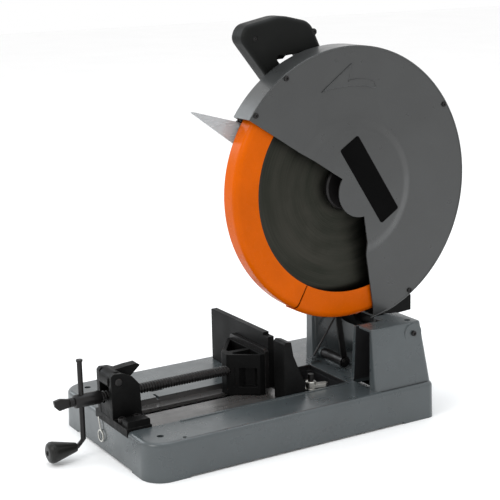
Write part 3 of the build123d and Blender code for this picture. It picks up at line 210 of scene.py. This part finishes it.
def base_zones(t, tone, rough):
    """The vise trough is bare dark steel, the recess is coloured near black, and the inward faces inside the near
    pillar carry painted shade in near black.
    """
    trough_box = (-0.0215, -0.2203, 0.020), (0.0765, 0.118, 0.0508)
    recess_box = (-0.0215, 0.030, 0.0), (0.0765, 0.1185, 0.0495)
    pillar_box = (0.060, 0.1322, 0.0505), (0.1345, 0.212, 0.1345)
    pillar_middle = (0.0972, 0.165, 0.090)
    grind = t.noise(160, 4, (1, 0.12, 1))
    steel = t.mix(t.remap(grind, 0.3, 0.7), (0.040, 0.038, 0.037), (0.075, 0.072, 0.070))
    tone = t.mix(t.in_box(*trough_box), tone, steel)
    recess = t.in_box(*recess_box)
    tone = t.mix(recess, tone, (0.012, 0.012, 0.013))
    # painted shade: the inward faces inside the near pillar's hollow are coloured near black where shade falls
    pillar = t.in_box(*pillar_box)
    to_middle = t.vector("SUBTRACT", pillar_middle, t.place)
    facing_in = t.math("GREATER_THAN", t.vector("DOT_PRODUCT", to_middle, t.geometry.outputs["Normal"]), 0.0)
    pillar_painted_shade = t.math("MULTIPLY", pillar, facing_in)
    tone = t.mix(pillar_painted_shade, tone, (0.018, 0.018, 0.019))
    rough = t.math("ADD", rough, t.math("MULTIPLY", t.math("MAXIMUM", recess, pillar_painted_shade), 0.15))
    return tone, rough


def casting(name, color, roughness, worn, metallic=0.0, wear=0.5, gloss=0.16):
    """Sand-cast iron or alloy under thin paint or oil: grainy skin, blotches and rubbed corners."""
    grain = 0.00016
    t = Shader(name)
    tone = mottled(t, color, 0.30, 45, 6)
    rubbed = t.edge_mask(0.0012, 160, wear)
    tone = t.mix(rubbed, tone, worn)
    rough = t.remap(t.noise(80, 5), 0.3, 0.7, roughness - 0.10, roughness + 0.10)
    rough = t.math("SUBTRACT", rough, t.math("MULTIPLY", rubbed, 0.15))
    skin = t.bump(t.noise(900, 5, roughness=0.7), grain, t.soft_edges(0.0010))
    normal = t.bump(t.noise(140, 3), grain * 1.5, skin)
    return t.finish(tone, rough, normal, Metallic=metallic, Specular_IOR_Level=gloss)


def machined(name, color, roughness, metallic=1.0, stretch=(1, 1, 1), lines=1400.0, depth=0.000012,
             spread=0.12, wear=0.0, worn=(0.45, 0.44, 0.42)):
    """Turned, ground or plated metal with fine tool marks and handling marks."""
    t = Shader(name)
    tone = mottled(t, color, spread, 60, 5)
    if wear:
        tone = t.mix(t.edge_mask(0.0008, 220, wear), tone, worn)
    marks = t.noise(lines, 2, stretch)
    rough = t.math("ADD", t.remap(t.noise(70, 4), 0.3, 0.7, roughness - 0.08, roughness + 0.08),
                   t.remap(marks, 0.3, 0.7, -0.04, 0.04))
    normal = t.bump(marks, depth, t.soft_edges(0.0005))
    return t.finish(tone, rough, normal, Metallic=metallic)


def ground_disc(name):
    """Dark saw plate: concentric grinding rings, faint radial sheen and a film of oil and heat tint."""
    t = Shader(name)
    radius, across, up = t.about_axle(DISC)
    turn = t.math("ARCTAN2", up, across)
    side, rise = t.math("COSINE", turn), t.math("SINE", turn)

    def concentric(per_metre, detail):
        """Noise that changes quickly with radius and slowly round the disc."""
        outward = t.math("MULTIPLY", radius, per_metre)
        at = t.node("ShaderNodeCombineXYZ", X=outward, Y=side, Z=rise).outputs[0]
        return t.node("ShaderNodeTexNoise", Vector=at, Scale=1.0, Detail=detail).outputs[0]

    rings, bands = concentric(2600.0, 2.0), concentric(60.0, 3.0)
    tone = t.mix(t.remap(bands, 0.3, 0.7), (0.016, 0.018, 0.014), (0.038, 0.037, 0.031))
    tone = t.mix(t.remap(rings, 0.35, 0.7, 0.0, 0.30), tone, (0.070, 0.067, 0.056))
    stain = t.remap(t.noise(16, 5), 0.52, 0.70, 0.0, 0.45, True)
    tone = t.mix(stain, tone, (0.022, 0.023, 0.018))
    rim = t.remap(radius, 0.150, 0.172, 0.0, 0.5, True)
    tone = t.mix(rim, tone, (0.12, 0.118, 0.108))
    rough = t.math("ADD", t.remap(bands, 0.3, 0.7, 0.34, 0.46), t.remap(rings, 0.3, 0.7, -0.05, 0.05))
    tangent = t.tree.nodes.new("ShaderNodeTangent")
    tangent.direction_type = "RADIAL"
    tangent.axis = "X"
    t.tree.links.new(tangent.outputs[0], t.principled.inputs["Tangent"])
    return t.finish(tone, rough, t.bump(rings, 0.000008), Metallic=1.0, Anisotropic=0.65)


def moulded(name, color, roughness, grain=0.00002, per_metre=2600.0, wear=0.3, gloss=0.14):
    """Moulded plastic or rubber with a spark-eroded grain, smoother on its corners where handling has polished it,
    and coloured lighter there as a painted sheen.
    """
    painted_sheen = (0.030, 0.030, 0.030)
    t = Shader(name)
    tone = mottled(t, color, 0.16, 30)
    polish_and_sheen = t.edge_mask(0.0016, 40, wear)
    # painted sheen: corners are coloured lighter as a highlight, while their lowered roughness is real polish
    tone = t.mix(polish_and_sheen, tone, painted_sheen)
    rough = t.remap(t.noise(26, 4), 0.3, 0.7, roughness - 0.06, roughness + 0.08)
    rough = t.math("SUBTRACT", rough, t.math("MULTIPLY", polish_and_sheen, 0.16))
    normal = t.bump(t.noise(per_metre, 2), grain, t.soft_edges(0.0012))
    return t.finish(tone, rough, normal, Specular_IOR_Level=gloss)


def clear_sheet(name):
    """Clear polycarbonate with hairline scratches and slightly cloudy edges."""
    t = Shader(name)
    hair = t.remap(t.noise(900, 2, (1, 0.05, 1)), 0.62, 0.70)
    cloudy = t.edge_mask(0.0015, 60, 0.6)
    tone = t.mix(cloudy, (0.50, 0.51, 0.52), (0.74, 0.75, 0.76))
    rough = t.math("ADD", t.remap(t.noise(30, 4), 0.3, 0.7, 0.10, 0.20),
                   t.math("MULTIPLY", t.math("MAXIMUM", hair, cloudy), 0.25))
    return t.finish(tone, rough, t.bump(hair, 0.00001), Transmission_Weight=0.55, IOR=1.49)


def copper_core(name):
    """Stacked steel laminations with varnished copper wire in the slots."""
    laminations_per_metre = 1300.0
    coil_inner, coil_outer = 22.5 * MM, 41.5 * MM
    t = Shader(name)
    across, _, _ = t.axes()
    stack = t.math("FRACT", t.math("MULTIPLY", across, laminations_per_metre))
    wires = t.noise(700, 2, (0.15, 1, 1))
    steel = t.mix(t.remap(stack, 0.0, 1.0), (0.10, 0.10, 0.11), (0.32, 0.31, 0.30))
    copper = t.mix(wires, (0.26, 0.09, 0.035), (0.62, 0.27, 0.12))
    radius, _, _ = t.about_axle(joint_of["armature_spin"]["pos_m"])
    coil = t.within(radius, coil_inner, coil_outer)
    return t.finish(t.mix(coil, steel, copper), 0.42, t.bump(stack, 0.00004), Metallic=1.0)


SLOT_MATERIALS = {
    "base_paint": enamel("base_paint", (0.050, 0.060, 0.064), 0.30, 0.35, (0.11, 0.12, 0.12), dent=0.0004,
                         zone=base_zones),
    "guard_paint": enamel("guard_paint", (0.030, 0.0315, 0.0315), 0.33, 0.30, (0.10, 0.11, 0.11)),
    "orange_paint": enamel("orange_paint", (0.55, 0.092, 0.0), 0.27, 0.12, (0.50, 0.20, 0.05), coat=0.02,
                           gloss=0.05),
    "black_paint": enamel("black_paint", (0.007, 0.007, 0.007), 0.40, 0.4, (0.030, 0.030, 0.030),
                          peel=0.00005, coat=0.0, gloss=0.06),
    "cast_black": casting("cast_black", (0.0042, 0.0042, 0.0042), 0.42, (0.030, 0.029, 0.028), gloss=0.08),
    "cast_alloy": casting("cast_alloy", (0.34, 0.34, 0.35), 0.50, (0.55, 0.55, 0.56), metallic=0.85,
                          wear=0.6),
    "black_oxide": machined("black_oxide", (0.011, 0.010, 0.010), 0.40, metallic=0.5, lines=900, wear=0.6,
                            worn=(0.10, 0.095, 0.09)),
    "bright_steel": machined("bright_steel", (0.55, 0.55, 0.56), 0.27, stretch=(1, 0.2, 0.2)),
    "zinc_steel": machined("zinc_steel", (0.58, 0.57, 0.53), 0.34, lines=500, spread=0.2),
    "bronze": machined("bronze", (0.56, 0.36, 0.15), 0.45, lines=2400, depth=0.00003),
    "blade_steel": ground_disc("blade_steel"),
    "windings": copper_core("windings"),
    "black_plastic": moulded("black_plastic", (0.006, 0.0065, 0.006), 0.48),
    "grip_plastic": moulded("grip_plastic", (0.009, 0.009, 0.008), 0.34, grain=0.00001, gloss=0.26),
    "gland_rubber": moulded("gland_rubber", (0.010, 0.010, 0.010), 0.68, per_metre=900, grain=0.00004),
    "clear_plastic": clear_sheet("clear_plastic"),
}
OWN_LOOKS = {
    "return_spring": SLOT_MATERIALS["black_oxide"],
    "badge_plate": moulded("badge_face", (0.0028, 0.0028, 0.0028), 0.62, gloss=0.02, wear=0.1),
}


# ---------------------------------------------------------------- the CAD nodes' own looks
CAD_CORNER = math.radians(28.0)
MESH_CORNER = 35.0


def smooth_cad(piece):
    """Shades a CAD node smoothly across its tangent faces, with its own vertices left alone."""
    piece.data.polygons.foreach_set("use_smooth", [True] * len(piece.data.polygons))
    weld = piece.modifiers.new("join_faces", "WELD")
    weld.merge_threshold = 1e-6
    split = piece.modifiers.new("hard_corners", "EDGE_SPLIT")
    split.split_angle = CAD_CORNER
    even = piece.modifiers.new("even_shading", "WEIGHTED_NORMAL")
    even.keep_sharp = True


for part in record["subparts"]:
    piece = frame["nodes"][part["node"]]
    piece.data.materials.clear()
    piece.data.materials.append(OWN_LOOKS.get(part["node"], SLOT_MATERIALS[part["material_slot"]]))
    smooth_cad(piece)


# ---------------------------------------------------------------- mesh pieces
def add_piece(name, mesh, body, slot, smooth=True, angle=MESH_CORNER):
    piece = bpy.data.objects.new(name, mesh)
    scene.collection.objects.link(piece)
    mesh.materials.append(SLOT_MATERIALS[slot])
    mesh.polygons.foreach_set("use_smooth", [smooth] * len(mesh.polygons))
    if smooth:
        mesh.set_sharp_from_angle(angle=math.radians(angle))
    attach(piece, body)
    return piece


def mesh_from(points, faces, name):
    """A mesh with doubled points joined, slivers removed and every face turned outwards."""
    same_place = 1e-6
    mesh = bpy.data.meshes.new(name)
    mesh.from_pydata([tuple(p) for p in points], [], faces)
    made = bmesh.new()
    made.from_mesh(mesh)
    bmesh.ops.remove_doubles(made, verts=made.verts, dist=same_place)
    bmesh.ops.dissolve_degenerate(made, edges=made.edges, dist=same_place)
    bmesh.ops.recalc_face_normals(made, faces=made.faces)
    made.to_mesh(mesh)
    made.free()
    mesh.validate()
    return mesh


def around_screw(radius, along, turn):
    """A point on the vise screw, at a distance along Y and a right-hand turn seen from its crank end."""
    return Vector((SCREW.x + radius * math.cos(turn), along, SCREW.z + radius * math.sin(turn)))


def lathe_along_screw(profile, start):
    """Rings of a turned profile, joined into a skin and closed at both ends."""
    segments = 48
    points, faces = [], []
    for radius, along in profile:
        points += [around_screw(radius, along, 2 * math.pi * k / segments) for k in range(segments)]
    for ring in range(len(profile) - 1):
        for k in range(segments):
            a, b = ring * segments + k, ring * segments + (k + 1) % segments
            faces.append([start + a, start + b, start + b + segments, start + a + segments])
    last = (len(profile) - 1) * segments
    faces.append([start + k for k in range(segments)])
    faces.append([start + last + k for k in reversed(range(segments))])
    return points, faces


THREAD_PITCH, THREAD_ROOT, THREAD_CREST = 4.0 * MM, 5.9 * MM, 6.98 * MM
HEAD_LENGTH, TAIL_LENGTH, CORE_OVERLAP = 38.5 * MM, 12.0 * MM, 3 * MM
# radius and distance from the far end, in millimetres
TAIL_PROFILE = [(5.0, 4), (6.0, 3.9), (6.45, 3), (6.3, 1), (5.0, 0)]
low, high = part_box("vise_screw")
thread_start, thread_end = low.y + HEAD_LENGTH, high.y - TAIL_LENGTH
head_r = (high.x - low.x) / 2
# radius in metres, and distance from the crank end in millimetres
HEAD_PROFILE = [(head_r - 2.2 * MM, 0.0), (head_r - 0.5 * MM, 0.6), (head_r, 2.0), (head_r, 35.5),
                (head_r - 1.2 * MM, 37.6), (THREAD_ROOT, 38.4)]


def screw_mesh():
    """The vise screw with a real right-hand trapezoidal thread."""
    head = [(radius, low.y + along * MM) for radius, along in HEAD_PROFILE]
    points, faces = lathe_along_screw(head + [(THREAD_ROOT, thread_start + CORE_OVERLAP)], 0)
    neck = [(THREAD_ROOT, thread_end - CORE_OVERLAP), (THREAD_ROOT, thread_end),
            (5.0 * MM, thread_end + 0.6 * MM)]
    tail = [(radius * MM, high.y - back * MM) for radius, back in TAIL_PROFILE]
    tail_points, tail_faces = lathe_along_screw(neck + tail, len(points))
    points += tail_points
    faces += tail_faces
    steps = 36
    run_out = 0.6 * THREAD_PITCH
    shape = [(THREAD_ROOT, 0.0), (THREAD_ROOT, 0.32), (THREAD_CREST, 0.52), (THREAD_CREST, 0.80)]
    turns = (thread_end - thread_start) / THREAD_PITCH
    count = int(turns * steps)
    start = len(points)
    for k in range(count + 1):
        for radius, share in shape:
            along = thread_end - THREAD_PITCH * (k / steps + share)
            fade = min(1.0, max(0.0, (along - thread_start) / run_out))
            fade = min(fade, max(0.0, (thread_end - along) / run_out))
            radius = THREAD_ROOT + (radius - THREAD_ROOT) * fade
            along = min(max(along, thread_start), thread_end)
            points.append(around_screw(radius, along, 2 * math.pi * k / steps))
    for k in range(count):
        a, b = start + 4 * k, start + 4 * (k + 1)
        for j in range(3):
            faces.append([a + j, a + j + 1, b + j + 1, b + j])
        if k + steps < count:
            c = start + 4 * (k + steps)
            faces.append([a + 3, c, c + 4, b + 3])
    return mesh_from(points, faces, "vise_screw_threaded")


threaded = add_piece("vise_screw_threaded", screw_mesh(), "vise_spindle", "black_oxide")
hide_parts("vise_screw")


def about_disc(radius, degrees, along):
    """A point at a radius and an angle about the disc, at a place along X."""
    angle = math.radians(degrees)
    return Vector((along, DISC.y + radius * math.cos(angle), DISC.z + radius * math.sin(angle)))


TOOTH_COUNT, FIRST_TOOTH = 72, 0.5
TIP_REACH, TIP_DEPTH, TIP_HALF_WIDTH = 177.4 * MM, 4.2 * MM, 1.35 * MM
PLATE_MIDDLE = DISC.x + 42.5 * MM


def carbide_tips():
    """A brazed wedge on the leading face of every tooth."""
    outer, pillar_painted_shade = TIP_REACH, TIP_REACH - TIP_DEPTH
    outer_share, inner_share = 1.0, 0.82
    corners = [(outer, 0.0, outer_share), (outer - 0.15 * MM, 0.55, outer_share),
               (pillar_painted_shade, 0.75, inner_share), (pillar_painted_shade, -0.1, inner_share)]
    points, faces = [], []
    for tooth in range(TOOTH_COUNT):
        turn = 360 / TOOTH_COUNT * tooth + FIRST_TOOTH
        start = len(points)
        for side in (-TIP_HALF_WIDTH, TIP_HALF_WIDTH):
            points += [about_disc(radius, turn + lead, PLATE_MIDDLE + side * share)
                       for radius, lead, share in corners]
        faces += [[start + 3, start + 2, start + 1, start], [start + 4, start + 5, start + 6, start + 7]]
        faces += [[start + i, start + (i + 1) % 4, start + 4 + (i + 1) % 4, start + 4 + i]
                  for i in range(4)]
    return mesh_from(points, faces, "carbide_tips")


add_piece("carbide_tips", carbide_tips(), "blade_assembly", "zinc_steel", smooth=False)


def bead(name, points, radius, closed=False):
    """A round bead along a line of points on the guard cover's face."""
    sides = 10
    count = len(points)
    ring_points, faces = [], []
    out = Vector((1, 0, 0))
    for i, point in enumerate(points):
        before = points[i - 1] if closed or i else point
        after = points[(i + 1) % count] if closed or i < count - 1 else point
        across = (after - before).normalized().cross(out)
        for k in range(sides):
            angle = 2 * math.pi * k / sides
            ring_points.append(point + radius * (math.cos(angle) * out + math.sin(angle) * across))
    for i in range(count if closed else count - 1):
        a, b = i * sides, ((i + 1) % count) * sides
        faces += [[a + k, a + (k + 1) % sides, b + (k + 1) % sides, b + k] for k in range(sides)]
    if not closed:
        last = (count - 1) * sides
        faces += [list(reversed(range(sides))), [last + k for k in range(sides)]]
    return add_piece(name, mesh_from(ring_points, faces, name), "head", "guard_paint", angle=60)


# rolled hem where the cover's flat face meets its rim
FRONT_CUT, REAR_CUT, HEM_R, HEM_STEPS = 144.9, -80.4, 190.7 * MM, 160
COVER_FACE = 62.6 * MM
hem = [about_disc(HEM_R, FRONT_CUT + (REAR_CUT - FRONT_CUT) * k / HEM_STEPS, COVER_FACE - 0.35 * MM)
       for k in range(HEM_STEPS + 1)]
bead("guard_hem", hem, 1.15 * MM)

# embossed edge of the turning arrow, from its rear barb by its point to its front barb, then round its tail
ARROW_PLACE = COVER_FACE + 0.85 * MM
EDGE_STEPS = 12
barbs_and_point = [about_disc(math.hypot(y, z) * MM, math.degrees(math.atan2(z, y)), ARROW_PLACE)
                   for y, z in ((-48, 133.5), (0, 168), (-6, 145.4))]
arrow_line = [start.lerp(end, k / EDGE_STEPS)
              for start, end in zip(barbs_and_point, barbs_and_point[1:]) for k in range(EDGE_STEPS)]
outer_side = [(145.6 + 1.6 * math.sin(math.pi * k / 8), 92.4 - 16.4 * k / 8) for k in range(9)]
tail_end = [(146.5 - 1.6 * k, 75.8 - 0.5 * k) for k in range(1, 5)]
inner_side = [(138.5 + 3.4 * (k / 16) ** 2, 73.5 + 36.2 * k / 16) for k in range(1, 16)]
arrow_line += [about_disc(radius * MM, degrees, ARROW_PLACE)
               for radius, degrees in outer_side + tail_end + inner_side]
bead("arrow_edge", arrow_line, 0.6 * MM, closed=True)


# ---------------------------------------------------------------- floor, light and camera
def flat_material(name, color, roughness):
    """Matt seamless paper with the faintest unevenness."""
    t = Shader(name)
    tone = mottled(t, color, 0.01, 3)
    return t.finish(tone, t.remap(t.noise(8, 3), 0.3, 0.7, roughness - 0.03, roughness + 0.03))


FLOOR_HALF = 8
corners = [(x * FLOOR_HALF, y * FLOOR_HALF, 0) for x, y in ((-1, -1), (1, -1), (1, 1), (-1, 1))]
floor_mesh = mesh_from(corners, [[0, 1, 2, 3]], "studio_floor")
floor = bpy.data.objects.new("studio_floor", floor_mesh)
scene.collection.objects.link(floor)
floor.data.materials.append(flat_material("pale_floor", (0.97, 0.97, 0.97), 0.85))


def soft_light(name, place, target, size, watts, color):
    """A square area light turned to face its target."""
    data = bpy.data.lights.new(name, "AREA")
    data.shape = "RECTANGLE"
    data.size = data.size_y = size
    data.energy = watts
    data.color = color
    lamp = bpy.data.objects.new(name, data)
    scene.collection.objects.link(lamp)
    lamp.location = place
    lamp.rotation_mode = "QUATERNION"
    lamp.rotation_quaternion = (Vector(target) - Vector(place)).to_track_quat("-Z", "Y")


middle = (CAD_BOX[0] + CAD_BOX[1]) / 2
soft_light("key", (0.6, -2.6, 2.4), middle, 1.6, 30, (1.0, 0.99, 0.97))
soft_light("fill", (3.0, 0.6, 1.3), middle, 1.8, 2, (0.97, 0.99, 1.0))
soft_light("left", (-2.4, -1.4, 1.6), middle, 1.4, 20, (0.88, 0.95, 1.0))
soft_light("overhead", (-0.1, 0.4, 3.0), middle, 2.2, 30, (0.86, 0.94, 1.0))

world = bpy.data.worlds.new("studio")
world.use_nodes = True
surround = world.node_tree.nodes["Background"]
surround.inputs["Color"].default_value = (1.0, 1.0, 1.0, 1)
surround.inputs["Strength"].default_value = 1.0
scene.world = world
scene.view_settings.view_transform = "Standard"
scene.view_settings.look = "None"

# the photographer's place, and the camera's own right, up and back
SENSOR_WIDTH, LENS = 36.0, 94.54
CAMERA_PLACE = (1.4995, -0.8759, 0.6527)
CAMERA_AXES = (Vector((0.5123, 0.8585, -0.0210)), Vector((-0.1872, 0.1355, 0.9727)),
               Vector((0.8380, -0.4945, 0.2302)))
camera_data = bpy.data.cameras.new("camera")
camera_data.sensor_width = SENSOR_WIDTH
camera_data.lens = LENS
camera_data.clip_start, camera_data.clip_end = 0.05, 60.0
camera = bpy.data.objects.new("camera", camera_data)
scene.collection.objects.link(camera)
turn = Matrix(CAMERA_AXES).transposed().to_quaternion().normalized().to_matrix().to_4x4()
camera.matrix_world = Matrix.Translation(CAMERA_PLACE) @ turn
scene.camera = camera
